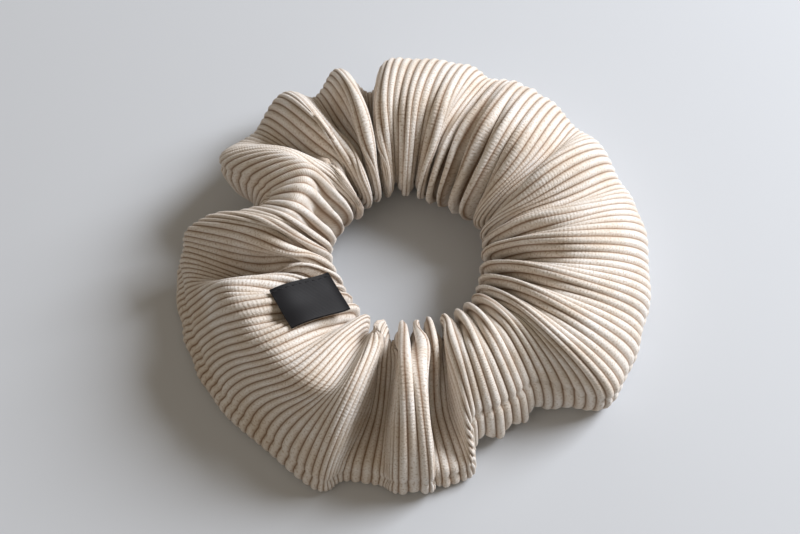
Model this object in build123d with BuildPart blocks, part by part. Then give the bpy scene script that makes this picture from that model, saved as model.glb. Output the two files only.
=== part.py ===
"""A gathered hair scrunchie lying flat: a ribbed jersey tube sewn into a ring and gathered on flat elastic.

Frame: the origin is the centre of the ring on the surface that it lies on, and +Z points up. +X is the way
that the ring is pulled open, and the woven label sits on the -X side. Sizes are in millimetres.

The cover is one fabric tube on the real thing. It is drawn here as two half rings, so that the ring can be
pulled into an oval: the left half keeps the label, and the right half slides away against the elastic.
"""

from build123d import *
from math import cos, pi, radians, sin
import os

# The relaxed ring, and the jersey that it is made of
RING_RADIUS = 56.0
HOLE_RADIUS = 19.5
RING_HEIGHT = 28.0
JERSEY = 1.2
HALF_GAP = 0.4

# The tube's section: four quarter ellipses joined by the hole's wall and by the flat that it rests on
HOLE_WALL_LOW, HOLE_WALL_HIGH = 6.0, 17.0
REST_INNER, REST_OUTER = 30.0, 44.0
BULGE_RADIUS = RING_RADIUS - REST_OUTER
CREST_RADIUS = 38.0

# Seams: allowances inside the tube, and the tucked end at the closing seam
SEAM_ALLOWANCE = 6.0
THREAD_RADIUS = 0.15
CLOSING_ANGLE = 210.0
TUCK_ANGLE = 12.0
EDGE_SWEEP = 2.0
LONG_STITCH_PITCH = 3.0
LONG_STITCH_INSET = 1.5
CLOSING_STITCHES = 32
CLOSING_SINK = 0.4
STITCH_FILL = 0.6

# The elastic: a flat braid whose ends lap and are sewn together
ELASTIC_WIDTH = 7.0
ELASTIC_THICK = 1.2
ELASTIC_RADIUS = 23.2
ELASTIC_LOW = 8.0
LOOP_SWEEP = 359.0
LAP_ANGLE = 150.0
LAP_SWEEP = 26.0
LAP_JOIN = 5.0
LAP_GAP = 0.1
LAP_STITCH_ROWS = 3
LAP_STITCHES = 5

# The label: a ribbon folded double, sewn down by its root at the closing seam
LABEL_NEAR, LABEL_FAR = 21.6, 37.0
LABEL_RIBBON = 0.3
LABEL_FOLD_GAP = 0.2
LABEL_THICK = 2 * LABEL_RIBBON + LABEL_FOLD_GAP
LABEL_LENGTH = 8.6
LABEL_LIFT = 0.4
LABEL_TILT = 13.0
LABEL_CREASE = 0.3
ROOT_SWEEP = 4.0
LABEL_STITCHES = 9


def section_plane(angle):
    """The plane of the tube's section at an angle about the ring: local x runs outwards, local y runs up."""
    outward = Vector(cos(radians(angle)), sin(radians(angle)), 0)
    return Plane(origin=(0, 0, 0), x_dir=outward, z_dir=outward.cross(Vector(0, 0, 1)))


def tube_outline(inset=0.0):
    """The tube's outline in a section plane, moved inwards by inset."""
    low_r, high_r, high_z = HOLE_RADIUS + inset, RING_RADIUS - inset, RING_HEIGHT - inset
    with BuildSketch(mode=Mode.PRIVATE) as outline:
        with BuildLine():
            Line((low_r, HOLE_WALL_HIGH), (low_r, HOLE_WALL_LOW))
            EllipticalCenterArc(
                (REST_INNER, HOLE_WALL_LOW), REST_INNER - low_r, HOLE_WALL_LOW - inset, 180, arc_size=90
            )
            Line((REST_INNER, inset), (REST_OUTER, inset))
            CenterArc((REST_OUTER, BULGE_RADIUS), BULGE_RADIUS - inset, 270, 90)
            EllipticalCenterArc(
                (CREST_RADIUS, BULGE_RADIUS), high_r - CREST_RADIUS, high_z - BULGE_RADIUS, 0, arc_size=90
            )
            EllipticalCenterArc(
                (CREST_RADIUS, HOLE_WALL_HIGH), CREST_RADIUS - low_r, high_z - HOLE_WALL_HIGH, 90, arc_size=90
            )
        make_face()
    return outline.sketch


def crest_height(radius):
    """The height of the tube's top surface at a radius between the hole and the crest."""
    share = (CREST_RADIUS - radius) / (CREST_RADIUS - HOLE_RADIUS)
    return HOLE_WALL_HIGH + (RING_HEIGHT - HOLE_WALL_HIGH) * (1 - share**2) ** 0.5


def label_strip(low, high):
    """A strip in a section plane that hugs the tube's top under the label, low to high above the jersey."""
    with BuildSketch(mode=Mode.PRIVATE) as strip:
        add(tube_outline(-high))
        add(tube_outline(-low), mode=Mode.SUBTRACT)
        with Locations(((LABEL_NEAR + LABEL_FAR) / 2, RING_HEIGHT)):
            Rectangle(LABEL_FAR - LABEL_NEAR, 2 * (RING_HEIGHT - HOLE_WALL_HIGH), mode=Mode.INTERSECT)
    return strip.sketch


def cover_half(side):
    """Half of the hollow jersey tube, with the long seam's allowance in its outer edge; side is -1 or 1."""
    with BuildPart() as half:
        with BuildSketch(Plane.XZ):
            add(tube_outline())
            add(tube_outline(JERSEY), mode=Mode.SUBTRACT)
            with Locations((RING_RADIUS - JERSEY - SEAM_ALLOWANCE / 2, BULGE_RADIUS)):
                Rectangle(SEAM_ALLOWANCE + JERSEY, 2 * JERSEY)
        revolve(axis=Axis.Z)
        if side < 0:
            with BuildSketch(section_plane(CLOSING_ANGLE - TUCK_ANGLE)):
                add(tube_outline(JERSEY))
                add(tube_outline(2 * JERSEY), mode=Mode.SUBTRACT)
            revolve(axis=Axis.Z, revolution_arc=TUCK_ANGLE)
        split(
            bisect_by=Plane.YZ.offset(side * HALF_GAP / 2),
            keep=Keep.TOP if side > 0 else Keep.BOTTOM,
        )
    return half


def stitch(length, depth):
    """One stitch: thread that comes up, runs along local x on the surface, and goes back down."""
    reach = length / 2
    bend = 2 * THREAD_RADIUS
    with BuildPart() as one:
        with BuildLine() as path:
            FilletPolyline(
                (-reach, 0, -depth),
                (-reach, 0, THREAD_RADIUS),
                (reach, 0, THREAD_RADIUS),
                (reach, 0, -depth),
                radius=bend,
            )
        with BuildSketch(Plane(path.line @ 0, z_dir=path.line % 0)):
            Circle(THREAD_RADIUS)
        sweep()
    return one.part


def stitch_row(places, length, depth):
    """The same stitch at each place, as separate solids of one thread."""
    one = stitch(length, depth)
    with BuildPart() as row:
        with Locations(*places):
            add(one)
    return row


def long_seam_thread(side):
    """The stitches of the long seam on one half, through both allowances, just inside the outer edge."""
    radius = RING_RADIUS - JERSEY - LONG_STITCH_INSET
    count = int(pi * radius / LONG_STITCH_PITCH) - 1
    places = []
    for i in range(count):
        angle = radians(180 * (i + 1) / (count + 1) - side * 90)
        outward = Vector(cos(angle), sin(angle), 0)
        at = outward * radius + Vector(0, 0, BULGE_RADIUS + JERSEY)
        places.append(Plane(at, x_dir=(-sin(angle), cos(angle), 0), z_dir=(0, 0, 1)).location)
    return stitch_row(places, LONG_STITCH_PITCH * STITCH_FILL, 2 * JERSEY)


def closing_seam_thread():
    """The topstitching that closes the tube's ends, all round the section, sunk flush into the jersey."""
    plane = section_plane(CLOSING_ANGLE - ROOT_SWEEP - EDGE_SWEEP)
    edge = tube_outline(CLOSING_SINK).wire()
    length = edge.length / CLOSING_STITCHES
    places = []
    for i in range(CLOSING_STITCHES):
        share = (i + 0.5) / CLOSING_STITCHES
        at, along = edge @ share, edge % share
        outward = Vector(along.Y, -along.X, 0)
        if outward.dot(Vector(at.X - CREST_RADIUS, at.Y - BULGE_RADIUS, 0)) < 0:
            outward = outward * -1
        local = Plane(at, x_dir=along, z_dir=outward)
        places.append(plane.location * local.location)
    return stitch_row(places, length * STITCH_FILL, JERSEY)


def elastic_ring_sector(low_r, high_r, start, sweep_angle):
    """A stretch of flat braid round the ring, as a sketch."""
    with BuildSketch(Plane.XY.offset(ELASTIC_LOW), mode=Mode.PRIVATE) as sector:
        with BuildLine():
            inner = CenterArc((0, 0), low_r, start, sweep_angle)
            outer = CenterArc((0, 0), high_r, start, sweep_angle)
            Line(inner @ 0, outer @ 0)
            Line(inner @ 1, outer @ 1)
        make_face()
    return sector.sketch


def elastic_band():
    """The elastic: once round inside the tube, its last stretch lapped over its first."""
    low_r = ELASTIC_RADIUS - ELASTIC_THICK / 2
    high_r = ELASTIC_RADIUS + ELASTIC_THICK / 2
    lap_r = high_r + LAP_GAP
    lap_start = LAP_ANGLE + LOOP_SWEEP - 360 - LAP_JOIN
    with BuildPart() as band:
        with BuildSketch(Plane.XY.offset(ELASTIC_LOW)):
            add(elastic_ring_sector(low_r, high_r, LAP_ANGLE, LOOP_SWEEP))
            add(elastic_ring_sector(high_r - LAP_GAP, lap_r, lap_start, LAP_JOIN))
            add(elastic_ring_sector(lap_r, lap_r + ELASTIC_THICK, lap_start, LAP_SWEEP + LAP_JOIN))
        extrude(amount=ELASTIC_WIDTH)
    return band


def elastic_thread():
    """Rows of stitches through both layers of the elastic's lap."""
    face_radius = ELASTIC_RADIUS + ELASTIC_THICK * 1.5 + LAP_GAP
    pitch = LAP_SWEEP / (LAP_STITCHES + 0.5)
    places = []
    for row in range(LAP_STITCH_ROWS):
        height = ELASTIC_LOW + ELASTIC_WIDTH * (row + 1) / (LAP_STITCH_ROWS + 1)
        for i in range(LAP_STITCHES):
            angle = radians(LAP_ANGLE + pitch * (i + 0.75))
            outward = Vector(cos(angle), sin(angle), 0)
            at = outward * face_radius + Vector(0, 0, height)
            places.append(Plane(at, x_dir=(-sin(angle), cos(angle), 0), z_dir=outward).location)
    length = radians(pitch) * face_radius * STITCH_FILL
    return stitch_row(places, length, 2 * ELASTIC_THICK)


def label_root():
    """The label's sewn end, flat on the jersey."""
    with BuildPart() as root:
        with BuildSketch(section_plane(CLOSING_ANGLE - ROOT_SWEEP)):
            add(label_strip(0, LABEL_THICK))
        revolve(axis=Axis.Z, revolution_arc=ROOT_SWEEP)
    return root


def label_hinge():
    """The line that the label's flap turns about: its middle, and its direction along the jersey."""
    plane = section_plane(CLOSING_ANGLE)
    near = Vector(LABEL_NEAR, crest_height(LABEL_NEAR), 0)
    far = Vector(LABEL_FAR, crest_height(LABEL_FAR), 0)
    middle = (LABEL_NEAR + LABEL_FAR) / 2
    centre = Vector(middle, crest_height(middle) + LABEL_LIFT + LABEL_THICK, 0)
    return plane.from_local_coords(centre), plane.from_local_coords(far - near).normalized()


def label_flap():
    """The label's free end: a ribbon folded double, its fold at the tip, held just clear of the jersey."""
    plane = section_plane(CLOSING_ANGLE)
    forward = plane.z_dir * -1
    start, reach = Plane(plane.origin + forward * LABEL_CREASE, plane.x_dir, plane.z_dir), -LABEL_LENGTH
    with BuildPart() as flap:
        with BuildSketch(start):
            add(label_strip(LABEL_LIFT, LABEL_LIFT + LABEL_THICK))
        extrude(amount=reach)
        with BuildSketch(start):
            add(label_strip(LABEL_LIFT + LABEL_RIBBON, LABEL_LIFT + LABEL_RIBBON + LABEL_FOLD_GAP))
        extrude(amount=reach + LABEL_RIBBON, mode=Mode.SUBTRACT)
    centre, along = label_hinge()
    flap.part = flap.part.rotate(Axis(centre, along), LABEL_TILT)
    return flap


def label_thread():
    """The row of stitches that holds the label's root down."""
    plane = section_plane(CLOSING_ANGLE - ROOT_SWEEP / 2)
    pitch = (LABEL_FAR - LABEL_NEAR) / LABEL_STITCHES
    places = []
    for i in range(LABEL_STITCHES):
        radius = LABEL_NEAR + pitch * (i + 0.5)
        near = Vector(radius - pitch / 2, crest_height(radius - pitch / 2), 0)
        far = Vector(radius + pitch / 2, crest_height(radius + pitch / 2), 0)
        along = (far - near).normalized()
        outward = Vector(-along.Y, along.X, 0)
        local = Plane((near + far) / 2 + outward * LABEL_THICK, x_dir=along, z_dir=outward)
        places.append(plane.location * local.location)
    return stitch_row(places, pitch * STITCH_FILL, LABEL_THICK + JERSEY)


PIECES = {
    "cover_left_half": cover_half(-1),
    "cover_right_half": cover_half(1),
    "long_seam_thread_left": long_seam_thread(-1),
    "long_seam_thread_right": long_seam_thread(1),
    "closing_seam_thread": closing_seam_thread(),
    "elastic_band": elastic_band(),
    "elastic_thread": elastic_thread(),
    "label_root": label_root(),
    "label_flap": label_flap(),
    "label_thread": label_thread(),
}

os.makedirs("parts", exist_ok=True)
for name, piece in PIECES.items():
    piece.part.label = name
    export_step(piece.part, f"parts/{name}.step")

hinge_centre, hinge_axis = label_hinge()
print("label hinge", [round(v / 1000, 5) for v in hinge_centre], [round(v, 5) for v in hinge_axis])
print("tube circumference", round(tube_outline().wire().length, 1))
print("elastic cut length", round(radians(LOOP_SWEEP + LAP_SWEEP) * ELASTIC_RADIUS, 1))
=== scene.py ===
"""A hair scrunchie in ribbed oatmeal jersey, gathered on a hidden elastic, with a small black woven label.

The cover is one tube of cloth. FOLDS lists its folds round the ring by kind and angle, KINDS says how each kind
crosses the ring as shares of the ring's own size, and the cloth is drawn through them with its ribs and gathers.
Lengths are millimetres, as in the CAD part, and angles are degrees.
"""

import bpy
import numpy as np
from math import cos, pi, radians, sin
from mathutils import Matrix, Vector
from mathutils.bvhtree import BVHTree


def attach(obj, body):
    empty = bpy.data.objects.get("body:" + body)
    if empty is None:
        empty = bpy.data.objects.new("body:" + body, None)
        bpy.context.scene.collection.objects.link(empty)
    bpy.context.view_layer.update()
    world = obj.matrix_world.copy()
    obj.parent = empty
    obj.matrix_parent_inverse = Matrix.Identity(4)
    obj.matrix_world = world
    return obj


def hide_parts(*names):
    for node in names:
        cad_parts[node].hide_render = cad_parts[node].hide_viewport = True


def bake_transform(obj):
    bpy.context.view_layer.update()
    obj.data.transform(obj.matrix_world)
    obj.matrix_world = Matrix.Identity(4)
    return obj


MM = 0.001

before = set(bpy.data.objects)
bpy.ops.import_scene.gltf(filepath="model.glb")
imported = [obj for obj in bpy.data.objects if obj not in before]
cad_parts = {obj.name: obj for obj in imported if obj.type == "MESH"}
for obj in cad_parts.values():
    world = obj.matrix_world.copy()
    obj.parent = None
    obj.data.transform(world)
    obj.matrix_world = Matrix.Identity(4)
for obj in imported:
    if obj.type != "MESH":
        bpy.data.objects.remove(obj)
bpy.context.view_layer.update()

# ---------------------------------------------------------------- the cloth and its folds

RING_RADIUS = 56.0
HOLE_RADIUS = 21.5
RING_HEIGHT = 28.0
HOLE_HEIGHT = 12.0
SHOULDER_HEIGHT = 18.5
SHOULDER_SHARE = 0.32
SHOULDER_LIFT = 1.1
FLOOR_CLEARANCE = 0.05
FOOT_HEIGHT = 3.6
INNER_FOOT_SPREAD = 4.0

CLOTH_LENGTH = 440.0
TUBE_GIRTH = 107.0
RIBS = 220
RIB_SAMPLES = 5
WALL_COLUMNS = 72
INNER_ROWS, INNER_COLUMNS = RIBS * RIB_SAMPLES // 2, 48
RIB_HEIGHT = 0.6
RIB_ROUNDNESS = 0.6
JERSEY = 1.2
INNER_WALL_SHARE = 0.7

# How each kind of fold crosses the ring: the crest's share of the way from hole to rim, the crest's and the rim's
# shares of the ring's height, the rim's share of the ring's radius, and how far its foot is set in, in millimetres.
KINDS = {
    "panel": (0.46, 0.92, 0.32, 1.08, 0),
    "ridge": (0.40, 0.94, 0.42, 1.06, 0),
    "soft valley": (0.54, 0.70, 0.30, 1.07, 0),
    "valley": (0.50, 0.48, 0.28, 1.01, -1),
    "deep valley": (0.54, 0.24, 0.20, 0.99, -1),
    "inner valley": (0.50, 0.28, 0.40, 1.02, -1),
    "narrow ridge": (0.42, 0.94, 0.28, 1.02, -1),
    "low panel": (0.66, 0.90, 0.20, 1.00, -2),
    "edge": (0.50, 0.94, 0.22, 1.07, -1),
    "puff": (0.36, 0.86, 0.56, 0.82, -3),
    "lip": (0.40, 1.00, 0.70, 0.94, 13),
    "turn": (0.20, 1.06, 0.90, 0.64, -2),
}

# The folds anticlockwise from the right: kind, then the angles at which the fold leaves the hole, crests and
# meets the rim.
FOLDS = [
    ("panel", 340, 332, 337),  # broad right panel
    ("panel", 355, 348, 355),
    ("panel", 8, 4, 12),
    ("soft valley", 16, 16, 22),
    ("ridge", 22, 26, 32),  # pinched ridge
    ("soft valley", 28, 34, 42),
    ("ridge", 36, 42, 50),  # upper right panel
    ("ridge", 56, 57, 60),
    ("soft valley", 75, 70, 67),
    ("ridge", 82, 77, 74),  # top panel
    ("ridge", 92, 89, 84),
    ("ridge", 102, 100, 94),
    ("deep valley", 107, 104, 101),  # dark pocket
    ("ridge", 112, 110, 110),  # narrow ridges beside it
    ("valley", 118, 117, 117),
    ("ridge", 124, 126, 125),
    ("valley", 130, 134, 136),
    ("lip", 135, 144, 155),  # loop that rolls over at the left
    ("turn", 146, 154, 161),
    ("turn", 166, 172, 168),
    ("lip", 188, 182, 174),
    ("inner valley", 206, 188, 182),  # dark valley under the loop
    ("low panel", 215, 200, 192),
    ("low panel", 225, 214, 203),  # left panel, which carries the label
    ("low panel", 237, 230, 216),
    ("low panel", 246, 246, 235),
    ("edge", 251, 253, 249),
    ("deep valley", 255, 257, 256),
    ("deep valley", 258, 261, 261),
    ("narrow ridge", 264, 267, 268),  # narrow lit ridge
    ("narrow ridge", 272, 272, 274),
    ("deep valley", 280, 277, 278),
    ("deep valley", 287, 282, 283),
    ("puff", 298, 291, 290),  # puff that stands over the table
    ("puff", 308, 300, 299),
    ("puff", 320, 313, 311),  # lower right panel
    ("panel", 331, 322, 323),
]

GATHERS = 36
GATHER_DEPTH = 3.4
GATHER_FADE = 24.0
SEAM_GROOVE = 0.9
SEAM_GROOVE_WIDTH = 0.9
SEAM_DROP = 1.2
SEAM_THREAD_HEIGHT = 1.5


def place(angle, radius, height):
    """A point on the ring, in metres."""
    return np.array([radius * cos(radians(angle)), radius * sin(radians(angle)), height]) * MM


def section_points(kind, hole, crest, rim):
    """The six points that one fold's section passes through, from the hole over the crest and back below."""
    crest_share, crest_height, rim_height, reach, inset = KINDS[kind]
    start = place(hole, HOLE_RADIUS, HOLE_HEIGHT)
    top = place(crest, HOLE_RADIUS + crest_share * (RING_RADIUS - HOLE_RADIUS), crest_height * RING_HEIGHT)
    shoulder = start * (1 - SHOULDER_SHARE) + top * SHOULDER_SHARE
    shoulder[2] = max(shoulder[2] * SHOULDER_LIFT, SHOULDER_HEIGHT * MM)
    edge = place(rim, reach * RING_RADIUS, rim_height * RING_HEIGHT)
    foot = place(rim, reach * RING_RADIUS - inset, FOOT_HEIGHT)
    back = place(hole, HOLE_RADIUS + INNER_FOOT_SPREAD, FOOT_HEIGHT)
    return [start, shoulder, top, edge, foot, back]


def closed_spline(points, stations, wanted):
    """Points on a smooth closed curve through points that stand at stations from 0 to 1, at wanted places."""
    gap_after = np.diff(np.append(stations, 1.0))
    gap_before = np.roll(gap_after, 1)
    shape = (-1,) + (1,) * (points.ndim - 1)
    slope_after = (np.roll(points, -1, axis=0) - points) / gap_after.reshape(shape)
    slope_before = np.roll(slope_after, 1, axis=0)
    share = (gap_before / (gap_before + gap_after)).reshape(shape)
    slope = slope_before * (1 - share) + slope_after * share
    i = np.clip(np.searchsorted(stations, wanted, side="right") - 1, 0, len(stations) - 1)
    j = (i + 1) % len(stations)
    wide = gap_after[i].reshape(shape)
    t = ((wanted - stations[i]) / gap_after[i]).reshape(shape)
    return (
        points[i] * (2 * t**3 - 3 * t**2 + 1)
        + slope[i] * wide * (t**3 - 2 * t**2 + t)
        + points[j] * (3 * t**2 - 2 * t**3)
        + slope[j] * wide * (t**3 - t**2)
    )


def chord_stations(points):
    """Stations from 0 to 1 round a closed loop of points, by the distance between neighbours."""
    gaps = np.linalg.norm(np.roll(points, -1, axis=0) - points, axis=-1)
    if gaps.ndim > 1:
        gaps = gaps.mean(axis=1)
    return np.concatenate([[0.0], np.cumsum(gaps)[:-1]]) / gaps.sum()


def even_section(points, columns):
    """One section as evenly spaced points: the first half runs from the hole to the rim, the rest runs back."""
    stations = chord_stations(points)
    fine_at = np.arange(8 * columns + 1) / (8 * columns)
    fine = closed_spline(points, stations, np.minimum(fine_at, 0.999999))
    walked = np.concatenate([[0.0], np.cumsum(np.linalg.norm(np.diff(fine, axis=0), axis=1))])
    rim = np.interp(stations[3], fine_at, walked)
    v = np.arange(columns) / columns
    wanted = np.where(v < 0.5, 2 * v * rim, rim + (2 * v - 1) * (walked[-1] - rim))
    return np.stack([np.interp(wanted, walked, fine[:, axis]) for axis in range(3)], axis=-1), walked[-1]


def folded_cover(rows, columns):
    """The cover's outer surface with its large folds: rows along the cloth, columns round the tube."""
    keys = np.array([section_points(*fold) for fold in FOLDS])
    stations = chord_stations(keys[:, 2:4])
    sections = closed_spline(keys, stations, np.arange(rows) / rows)
    return np.array([even_section(section, columns)[0] for section in sections])


def gathered(grid):
    """The cover with the small gathers that the elastic draws in, deepest at the hole and underneath."""
    rows, columns = grid.shape[:2]
    turn = 2 * pi * chord_stations(grid[:, 0])[:, None]
    v = np.arange(columns)[None, :] / columns
    from_hole = np.minimum(v, 1 - v) * TUBE_GIRTH
    underneath = np.clip((v - 0.58) / 0.12, 0, 1)
    depth = np.maximum(np.exp(-((from_hole / GATHER_FADE) ** 2)), np.maximum(underneath, 0.10))
    uneven = 1.4 * np.sin(3 * turn + 1) + 0.9 * np.sin(7 * turn + 2) + 0.5 * np.sin(11 * turn)
    uneven = uneven + 0.8 * np.sin(2 * pi * v + 2 * turn)
    wave = np.sin(GATHERS * turn + uneven) * (0.8 + 0.2 * np.sin(5 * turn + 0.5))
    grid = grid + grid_normals(grid) * (GATHER_DEPTH * MM * depth * wave)[..., None]
    grid[..., 2] = np.maximum(grid[..., 2], (RIB_HEIGHT + FLOOR_CLEARANCE) * MM)
    return grid


def grid_normals(grid):
    """Outward normals of a grid that wraps in both directions."""
    along = np.roll(grid, -1, axis=0) - np.roll(grid, 1, axis=0)
    around = np.roll(grid, -1, axis=1) - np.roll(grid, 1, axis=1)
    normal = np.cross(around, along)
    normal /= np.maximum(np.linalg.norm(normal, axis=-1, keepdims=True), 1e-12)
    return normal


def with_ribs(grid, normal):
    """The outer surface with its ribs raised, and the groove of the long seam just under the rim."""
    rows, columns = grid.shape[:2]
    phase = (np.arange(rows) % RIB_SAMPLES) / RIB_SAMPLES
    rib = np.sin(pi * phase) ** RIB_ROUNDNESS
    spacing = np.linalg.norm(np.roll(grid, -1, axis=0) - grid, axis=-1) * RIB_SAMPLES / MM
    closeness = np.clip(spacing / (CLOTH_LENGTH / RIBS), 0.3, 1.0)
    v = np.arange(columns) / columns
    from_seam = (v - 0.5) * TUBE_GIRTH - SEAM_DROP
    seam = SEAM_GROOVE * np.exp(-((from_seam / SEAM_GROOVE_WIDTH) ** 2))
    height = RIB_HEIGHT * rib[:, None] * closeness - seam[None, :]
    return grid + normal * height[..., None] * MM, np.tile(rib[:, None], (1, columns))


def grid_faces(rows, columns, first=0, inward=False):
    """The quads of a grid of points that wraps in both directions."""
    r, c = np.meshgrid(np.arange(rows), np.arange(columns), indexing="ij")
    nr, nc = (r + 1) % rows, (c + 1) % columns
    corners = [r * columns + c, r * columns + nc, nr * columns + nc, nr * columns + c]
    if inward:
        corners.reverse()
    return np.stack(corners, axis=-1).reshape(-1, 4) + first


def mesh_object(name, points, faces):
    """A new mesh object from arrays of points and quads."""
    mesh = bpy.data.meshes.new(name)
    mesh.from_pydata(points.tolist(), [], [tuple(face) for face in faces])
    mesh.update()
    obj = bpy.data.objects.new(name, mesh)
    bpy.context.scene.collection.objects.link(obj)
    return obj


def only(obj):
    """Makes obj the one selected and active object."""
    bpy.ops.object.select_all(action="DESELECT")
    obj.select_set(True)
    bpy.context.view_layer.objects.active = obj


def cloth_uv(mesh, rows, columns):
    """A UV map in metres of flat cloth: u along the strip, v round the tube."""
    layer = mesh.uv_layers.new(name="cloth")
    corner = np.empty(len(mesh.loops), dtype=int)
    mesh.loops.foreach_get("vertex_index", corner)
    wall = rows * columns
    outside = corner < wall
    r = np.where(outside, corner // columns, (corner - wall) // INNER_COLUMNS * (rows // INNER_ROWS))
    c = np.where(outside, corner % columns, (corner - wall) % INNER_COLUMNS * (columns / INNER_COLUMNS))
    u, v = r / rows, c / columns
    wraps_u = np.repeat(np.ptp(u.reshape(-1, 4), axis=1) > 0.5, 4) & (u < 0.5)
    wraps_v = np.repeat(np.ptp(v.reshape(-1, 4), axis=1) > 0.5, 4) & (v < 0.5)
    uv = np.stack([(u + wraps_u) * CLOTH_LENGTH * MM, (v + wraps_v) * TUBE_GIRTH * MM], axis=-1)
    layer.data.foreach_set("uv", uv.reshape(-1))


def make_cover():
    """The jersey tube: a ribbed outer wall and a plain inner wall, one thickness of jersey apart."""
    rows, columns = RIBS * RIB_SAMPLES, WALL_COLUMNS
    folded = folded_cover(rows, columns)
    smooth = gathered(folded)
    outer, rib = with_ribs(smooth, grid_normals(smooth))
    inside = smooth[:: rows // INNER_ROWS]
    at = np.arange(INNER_COLUMNS) * columns / INNER_COLUMNS
    low_column, part = at.astype(int), (at % 1)[None, :, None]
    inside = inside[:, low_column] * (1 - part) + inside[:, (low_column + 1) % columns] * part
    inner = inside - grid_normals(inside) * JERSEY * INNER_WALL_SHARE * MM
    points = np.concatenate([outer.reshape(-1, 3), inner.reshape(-1, 3)])
    points[:, 2] = np.maximum(points[:, 2], FLOOR_CLEARANCE * MM)
    faces = np.concatenate([
        grid_faces(rows, columns),
        grid_faces(INNER_ROWS, INNER_COLUMNS, rows * columns, inward=True),
    ])
    cover = mesh_object("jersey_cover", points, faces)
    cloth_uv(cover.data, rows, columns)
    # Each point's rib height, which the jersey material uses to paint shade into the grooves.
    height = cover.data.attributes.new("rib", "FLOAT", "POINT")
    height.data.foreach_set("value", np.concatenate([rib.reshape(-1), np.full(inner.size // 3, 0.5)]))
    only(cover)
    bpy.ops.object.shade_smooth()
    return cover, folded, smooth


# ---------------------------------------------------------------- elastic and threads

ELASTIC_WIDTH = 7.0
ELASTIC_THICK = 0.9
ELASTIC_CLEARANCE = 6.5
ELASTIC_HEIGHT = 10.0
ELASTIC_ROWS = 240
THREAD_RADIUS = 0.15
SEAM_STITCH, SEAM_STITCH_PITCH = 2.2, 3.0
CLOSING_ANGLE = 210.0
CLOSING_REACH = 6.0


def make_elastic(folded):
    """The flat elastic, standing on edge inside the tube just behind the hole's wall."""
    rows, columns = folded.shape[:2]
    from_hole = np.minimum(np.arange(columns), columns - np.arange(columns)) / columns * TUBE_GIRTH
    wall = folded[:, from_hole < ELASTIC_WIDTH / 2 + 1]
    radius = np.linalg.norm(wall[..., :2], axis=-1).max(axis=1)
    angle = np.arctan2(wall[:, 0, 1], wall[:, 0, 0])
    steps = 2 * pi * np.arange(ELASTIC_ROWS) / ELASTIC_ROWS
    radius = np.interp(steps, angle % (2 * pi), radius, period=2 * pi) + ELASTIC_CLEARANCE * MM
    rings = []
    for out, up in ((0, -1), (0, 1), (1, 1), (1, -1)):
        r = radius + out * ELASTIC_THICK * MM
        z = np.full(ELASTIC_ROWS, (ELASTIC_HEIGHT + up * ELASTIC_WIDTH / 2) * MM)
        rings.append(np.stack([r * np.cos(steps), r * np.sin(steps), z], axis=-1))
    band = np.stack(rings, axis=1)
    elastic = mesh_object("flat_elastic", band.reshape(-1, 3), grid_faces(ELASTIC_ROWS, 4))
    only(elastic)
    bpy.ops.object.shade_smooth_by_angle(angle=radians(40))
    return elastic, band


def stitches(name, places, length, radius):
    """A row of thread stitches: places are (middle, direction) pairs in metres."""
    points, faces, sides = [], [], 8
    for middle, along in places:
        along = np.array(along) / np.linalg.norm(along)
        side = np.cross(along, (0.12, 0.2, 0.97))
        side /= np.linalg.norm(side)
        up = np.cross(along, side)
        first = len(points)
        for t in (-1.0, -0.85, -0.4, 0.4, 0.85, 1.0):
            r = radius * max(1 - t**4, 0.12) ** 0.5
            for k in range(sides):
                a = 2 * pi * k / sides
                points.append(middle + (along * t * length / 2 + (side * cos(a) + up * sin(a)) * r) * MM)
        for ring in range(5):
            for k in range(sides):
                n = (k + 1) % sides
                low = first + ring * sides
                faces.append((low + k, low + sides + k, low + sides + n, low + n))
        faces.append(tuple(range(first, first + sides)))
        faces.append(tuple(range(first + 6 * sides - 1, first + 5 * sides - 1, -1)))
    obj = mesh_object(name, np.array(points), faces)
    only(obj)
    bpy.ops.object.mode_set(mode="EDIT")
    bpy.ops.mesh.select_all(action="SELECT")
    bpy.ops.mesh.normals_make_consistent(inside=False)
    bpy.ops.object.mode_set(mode="OBJECT")
    bpy.ops.object.shade_smooth_by_angle(angle=radians(50))
    return obj


def along_rows(line, pitch):
    """Evenly spaced (middle, direction) pairs along a closed line of points."""
    closed = np.vstack([line, line[:1]])
    walked = np.concatenate([[0.0], np.cumsum(np.linalg.norm(np.diff(closed, axis=0), axis=1))])
    count = int(walked[-1] / (pitch * MM))
    wanted = (np.arange(count) + 0.5) / count * walked[-1]
    at = np.stack([np.interp(wanted, walked, closed[:, i]) for i in range(3)], axis=-1)
    ahead = np.stack([np.interp(wanted + 0.3 * MM, walked, closed[:, i]) for i in range(3)], axis=-1)
    return [(a, b - a) for a, b in zip(at, ahead) if np.linalg.norm(b - a) > 1e-9]


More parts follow.
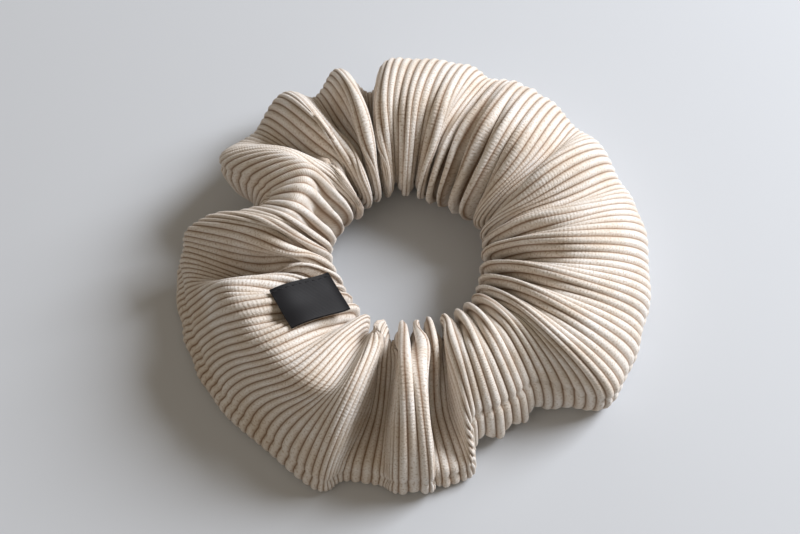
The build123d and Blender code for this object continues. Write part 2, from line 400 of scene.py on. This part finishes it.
def make_seam_threads(folded, smooth):
    """The long seam's stitches in the groove at the rim, and the closing seam's stitches inside the tube."""
    rows, columns = smooth.shape[:2]
    inward = grid_normals(smooth) * -1
    groove = columns // 2 + 1
    long_line = smooth[:, groove] + inward[:, groove] * (SEAM_GROOVE + THREAD_RADIUS * 0.4) * MM
    long_line[:, 2] = np.maximum(long_line[:, 2], SEAM_THREAD_HEIGHT * MM)
    long_thread = stitches("long_seam_thread", along_rows(long_line, SEAM_STITCH_PITCH), SEAM_STITCH, THREAD_RADIUS)
    angles = np.degrees(np.arctan2(smooth[:, 0, 1], smooth[:, 0, 0])) % 360
    depth = ((smooth - folded) * inward).sum(axis=-1).mean(axis=1)
    row = int(np.where(np.abs(angles - CLOSING_ANGLE) < CLOSING_REACH, depth, -1.0).argmax())
    closing_line = smooth[row] + inward[row] * (JERSEY + 2 * THREAD_RADIUS) * MM
    closing = stitches("closing_seam_thread_visual", along_rows(closing_line, SEAM_STITCH_PITCH), SEAM_STITCH,
                       THREAD_RADIUS)
    return long_thread, closing


def make_elastic_thread(band):
    """Three upright rows of stitches through the lap in the elastic."""
    places = []
    first = int(CLOSING_ANGLE / 360 * ELASTIC_ROWS)
    for row in (first - 2, first, first + 2):
        low, high = band[row, 3], band[row, 2]
        places += [(low + (high - low) * (k + 0.5) / 5, high - low) for k in range(5)]
    return stitches("elastic_thread_visual", places, 1.0, THREAD_RADIUS)


# ---------------------------------------------------------------- label

LABEL_WIDTH = 15.4
LABEL_LENGTH = 9.0
LABEL_ROOT = 2.0
LABEL_RIBBON = 0.25
LABEL_GAP = 0.35
LABEL_RADIUS = 29.3
LABEL_STITCHES = 9
LABEL_COLUMNS, LABEL_ROWS = 31, 23
LABEL_BRIDGE = 5
LABEL_SMOOTHING = 30
LABEL_STITCH = 1.1


def label_height(cover, along, forward):
    """The label's gently bent height over the jersey, as a function of width and length places."""
    tree = BVHTree.FromObject(cover, bpy.context.evaluated_depsgraph_get())
    widths = np.linspace(-LABEL_WIDTH / 2, LABEL_WIDTH / 2, LABEL_COLUMNS)
    lengths = np.linspace(-LABEL_ROOT, LABEL_LENGTH, LABEL_ROWS)
    cloth = np.zeros((LABEL_COLUMNS, LABEL_ROWS))
    for i, w in enumerate(widths):
        for k, s in enumerate(lengths):
            at = (along * (LABEL_RADIUS + w) + forward * s) * MM
            hit = tree.ray_cast(Vector((at[0], at[1], 0.1)), Vector((0, 0, -1)))[0]
            cloth[i, k] = hit.z / MM if hit is not None else 0.0
    # The ribbon rests on the tops of the gathers and ribs, and bridges what lies between them.
    tops = np.array([
        [cloth[max(i - LABEL_BRIDGE, 0) : i + LABEL_BRIDGE + 1, max(k - LABEL_BRIDGE, 0) : k + LABEL_BRIDGE + 1].max()
         for k in range(LABEL_ROWS)]
        for i in range(LABEL_COLUMNS)
    ])
    for _ in range(LABEL_SMOOTHING):
        wide = np.pad(tops, 1, mode="edge")
        tops = np.maximum((wide[:-2, 1:-1] + wide[2:, 1:-1] + wide[1:-1, :-2] + wide[1:-1, 2:]) / 4, cloth)

    def height(w, s):
        across = [np.interp(w, widths, tops[:, k]) for k in range(LABEL_ROWS)]
        return np.interp(s, lengths, across) + LABEL_RIBBON

    return height


def make_label(cover):
    """The woven ribbon folded double, sewn down along one edge and lying on the jersey, and its stitches."""
    along = np.array([cos(radians(CLOSING_ANGLE)), sin(radians(CLOSING_ANGLE)), 0.0])
    forward = np.array([-along[1], along[0], 0.0])
    height = label_height(cover, along, forward)
    path = [(s, 0.0) for s in np.linspace(-LABEL_ROOT, LABEL_LENGTH, LABEL_ROWS)]
    path += [(LABEL_LENGTH + 0.15, LABEL_GAP / 2)]
    path += [(s, LABEL_GAP) for s in np.linspace(LABEL_LENGTH, -LABEL_ROOT, LABEL_ROWS)]
    across = np.linspace(-LABEL_WIDTH / 2, LABEL_WIDTH / 2, 33)
    points = [
        (along * (LABEL_RADIUS + w) + forward * s + np.array([0, 0, height(w, s) + up])) * MM
        for s, up in path
        for w in across
    ]
    n = len(across)
    faces = [(i * n + k, i * n + k + 1, (i + 1) * n + k + 1, (i + 1) * n + k)
             for i in range(len(path) - 1) for k in range(n - 1)]
    label = mesh_object("woven_label", np.array(points), np.array(faces))
    uv = label.data.uv_layers.new(name="cloth")
    spots = [(w * MM, (i * LABEL_LENGTH / 22) * MM) for i in range(len(path)) for w in across]
    for loop in label.data.loops:
        uv.data[loop.index].uv = spots[loop.vertex_index]
    only(label)
    modifier = label.modifiers.new("Solidify", "SOLIDIFY")
    modifier.thickness = LABEL_RIBBON * MM
    modifier.offset = 0
    bpy.ops.object.modifier_apply(modifier="Solidify")
    bpy.ops.object.shade_smooth_by_angle(angle=radians(40))
    places = []
    for k in range(LABEL_STITCHES):
        w = LABEL_WIDTH * ((k + 0.5) / LABEL_STITCHES - 0.5)
        up = LABEL_GAP + LABEL_RIBBON / 2 + THREAD_RADIUS * 0.5
        low, high = (
            (along * (LABEL_RADIUS + x) - forward * LABEL_ROOT / 2
             + np.array([0, 0, height(x, -LABEL_ROOT / 2) + up])) * MM for x in (w - 0.4, w + 0.4)
        )
        places.append(((low + high) / 2, high - low))
    thread = stitches("label_thread_visual", places, LABEL_STITCH, THREAD_RADIUS)
    hinge = (along * LABEL_RADIUS + np.array([0, 0, height(0, 0)])) * MM
    return label, thread, hinge, forward


# ---------------------------------------------------------------- materials


def linear(hex_colour):
    """An sRGB hex colour as linear RGBA."""
    parts = [int(hex_colour[i : i + 2], 16) / 255 for i in (1, 3, 5)]
    return [p / 12.92 if p <= 0.04045 else ((p + 0.055) / 1.055) ** 2.4 for p in parts] + [1.0]


def add_node(material, kind, links=(), **settings):
    """One node: settings name its properties or its inputs, and links are (input, node, output)."""
    tree = material.node_tree
    node = tree.nodes.new(kind)
    for key, value in settings.items():
        if hasattr(node, key):
            setattr(node, key, value)
        else:
            node.inputs[key.replace("_", " ")].default_value = value
    for target, source, output in links:
        tree.links.new(source.outputs[output], node.inputs[target])
    return node


def new_material(name, roughness, sheen=0.0, sheen_tint="#FFFFFF"):
    """A material with its Principled shader set for cloth or thread."""
    material = bpy.data.materials.new(name)
    material.use_nodes = True
    shader = material.node_tree.nodes["Principled BSDF"]
    shader.inputs["Roughness"].default_value = roughness
    shader.inputs["Specular IOR Level"].default_value = 0.2
    shader.inputs["Sheen Weight"].default_value = sheen
    shader.inputs["Sheen Roughness"].default_value = 0.5
    shader.inputs["Sheen Tint"].default_value = linear(sheen_tint)
    return material, shader


def ramp(material, source, output, stops):
    """A colour ramp from a number, its stops given as (place, hex colour)."""
    node = add_node(material, "ShaderNodeValToRGB", [("Fac", source, output)])
    elements = node.color_ramp.elements
    elements[0].position, elements[0].color = stops[0][0], linear(stops[0][1])
    elements[1].position, elements[1].color = stops[-1][0], linear(stops[-1][1])
    for position, colour in stops[1:-1]:
        elements.new(position).color = linear(colour)
    return node


def mix(material, blend, amount, a, b, output="Color"):
    """Two colours mixed."""
    node = add_node(material, "ShaderNodeMix", data_type="RGBA", blend_type=blend)
    node.inputs["Factor"].default_value = amount
    colours = [s for s in node.inputs if s.type == "RGBA"]
    material.node_tree.links.new(a.outputs[output], colours[0])
    material.node_tree.links.new(b.outputs["Color"], colours[1])
    return node


# Knit courses, fibre flecks and broad shade, in millimetres of cloth.
COURSE_PITCH = 0.9
FIBRE_GRAIN = 0.45
SHADE_PATCH = 9.0


def oatmeal_rib_jersey():
    """Cotton rib jersey knitted from melange yarn: pale rounded ribs with painted shade darkening the grooves between
    them, and flecks of fibre.
    """
    material, shader = new_material("oatmeal melange rib jersey", 0.92, sheen=0.2, sheen_tint="#FFF8F0")
    links = material.node_tree.links
    uv = add_node(material, "ShaderNodeUVMap", uv_map="cloth")
    rib = add_node(material, "ShaderNodeAttribute", attribute_name="rib")
    # Painted shade: the colour runs from near-white on the rib tops to brown in the grooves, standing in for the
    # shade the ribs cast into them.
    groove_shade_tone = ramp(material, rib, "Fac", [(0.0, "#8E745E"), (0.45, "#D3C9BF"), (1.0, "#EFEDEA")])
    fleck = add_node(
        material, "ShaderNodeTexNoise", [("Vector", uv, "UV")], Scale=1 / (FIBRE_GRAIN * MM), Detail=2.0
    )
    fleck_tone = ramp(material, fleck, "Fac", [(0.3, "#C2AE97"), (0.5, "#FFFFFF"), (0.75, "#FFFFFF")])
    flecked = mix(material, "MULTIPLY", 0.7, groove_shade_tone, fleck_tone)
    patch = add_node(
        material, "ShaderNodeTexNoise", [("Vector", uv, "UV")], Scale=1 / (SHADE_PATCH * MM), Detail=1.0
    )
    patch_tone = ramp(material, patch, "Fac", [(0.3, "#F2EBE2"), (0.7, "#FFFFFF")])
    toned = mix(material, "MULTIPLY", 1.0, flecked, patch_tone, "Result")
    links.new(toned.outputs["Result"], shader.inputs["Base Color"])
    course = add_node(
        material, "ShaderNodeTexWave", [("Vector", uv, "UV")], bands_direction="Y",
        Scale=2 * pi / (20 * COURSE_PITCH * MM), Distortion=0.6,
    )
    fibres = add_node(material, "ShaderNodeBump", [("Height", fleck, "Fac")], Strength=0.6, Distance=0.15 * MM)
    knit = add_node(
        material, "ShaderNodeBump", [("Height", course, "Fac"), ("Normal", fibres, "Normal")],
        Strength=0.35, Distance=0.12 * MM,
    )
    links.new(knit.outputs["Normal"], shader.inputs["Normal"])
    return material


def black_woven_ribbon():
    """The label's satin ribbon: black, with a fine weave that catches a little light."""
    material, shader = new_material("black woven satin ribbon", 0.5)
    shader.inputs["Base Color"].default_value = linear("#17171A")
    uv = add_node(material, "ShaderNodeUVMap", uv_map="cloth")
    weave = add_node(
        material, "ShaderNodeTexWave", [("Vector", uv, "UV")], bands_direction="Y", Scale=2 * pi / (20 * 0.3 * MM)
    )
    bump = add_node(material, "ShaderNodeBump", [("Height", weave, "Fac")], Strength=0.3, Distance=0.05 * MM)
    material.node_tree.links.new(bump.outputs["Normal"], shader.inputs["Normal"])
    return material


def plain(name, colour, roughness):
    """A thread or braid of one colour."""
    material, shader = new_material(name, roughness, sheen=0.15)
    shader.inputs["Base Color"].default_value = linear(colour)
    return material


# ---------------------------------------------------------------- camera, light and floor

# Metres, from the frame's origin.
CAMERA_LOOK = Vector((-0.00225, -0.0031, 0.012))
CAMERA_ELEVATION = radians(62.5)
CAMERA_DISTANCE = 0.330
CAMERA_LENS = 59.4


def make_camera():
    """The camera, above and in front of the ring."""
    away = Vector((0, -cos(CAMERA_ELEVATION), sin(CAMERA_ELEVATION)))
    where = CAMERA_LOOK + away * CAMERA_DISTANCE
    bpy.ops.object.camera_add(location=where, rotation=(pi / 2 - CAMERA_ELEVATION, 0, 0))
    camera = bpy.context.object
    camera.data.lens = CAMERA_LENS
    camera.data.sensor_width = 36
    camera.data.clip_start = 0.01
    bpy.context.scene.camera = camera


def area_light(name, where, size, power, colour):
    """A soft square light that faces the ring."""
    turn = (-Vector(where)).to_track_quat("-Z", "Y").to_euler()
    bpy.ops.object.light_add(type="AREA", location=where, rotation=turn)
    light = bpy.context.object
    light.name = name
    light.data.size = size
    light.data.energy = power
    light.data.color = linear(colour)[:3]


def make_studio():
    """A plain pale floor, a window-like key from the right and the back, and a weak warm fill."""
    bpy.ops.mesh.primitive_plane_add(size=6, location=(0, 0, 0))
    floor = bpy.context.object
    floor.name = "studio_floor"
    material, shader = new_material("matte white lacquer", 0.6)
    shader.inputs["Base Color"].default_value = linear("#CCD1D7")
    floor.data.materials.append(material)
    area_light("window", (0.80, 0.42, 0.62), 0.55, 18, "#FAFBFF")
    area_light("fill", (-0.5, -0.6, 0.9), 0.9, 1.0, "#FFEBD6")
    world = bpy.data.worlds.new("room")
    bpy.context.scene.world = world
    world.use_nodes = True
    world.node_tree.nodes["Background"].inputs["Color"].default_value = linear("#E8D9C4")
    world.node_tree.nodes["Background"].inputs["Strength"].default_value = 0.27
    bpy.context.scene.view_settings.view_transform = "Standard"


bpy.ops.object.select_all(action="DESELECT")
make_camera()
make_studio()
cover, folded, smooth = make_cover()
elastic, band = make_elastic(folded)
long_thread, closing_thread = make_seam_threads(folded, smooth)
elastic_thread = make_elastic_thread(band)
label, label_thread, hinge, forward = make_label(cover)

jersey_thread = plain("oatmeal sewing thread", "#CDBBA4", 0.8)
PIECES = [
    (cover, oatmeal_rib_jersey(), "rib_jersey", ["cover_left_half", "cover_right_half"]),
    (long_thread, jersey_thread, "jersey_thread", ["long_seam_thread_left", "long_seam_thread_right"]),
    (closing_thread, jersey_thread, "jersey_thread", ["closing_seam_thread"]),
    (elastic, plain("white braided elastic", "#DEDCD6", 0.7), "elastic", ["elastic_band"]),
    (elastic_thread, jersey_thread, "jersey_thread", ["elastic_thread"]),
    (label, black_woven_ribbon(), "label_ribbon", ["label_root", "label_flap"]),
    (label_thread, plain("black sewing thread", "#1B1B1E", 0.6), "label_thread", ["label_thread"]),
]
for piece, material, slot, nodes in PIECES:
    piece.data.materials.append(material)
    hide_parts(*nodes)

# The cover, the long seam's thread, the elastic and the label are baked where they stand, and the other threads are
# hung on the left half.
for piece in (cover, long_thread, elastic):
    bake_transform(piece)
for piece in (closing_thread, elastic_thread, label_thread):
    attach(piece, "left_half")
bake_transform(label)
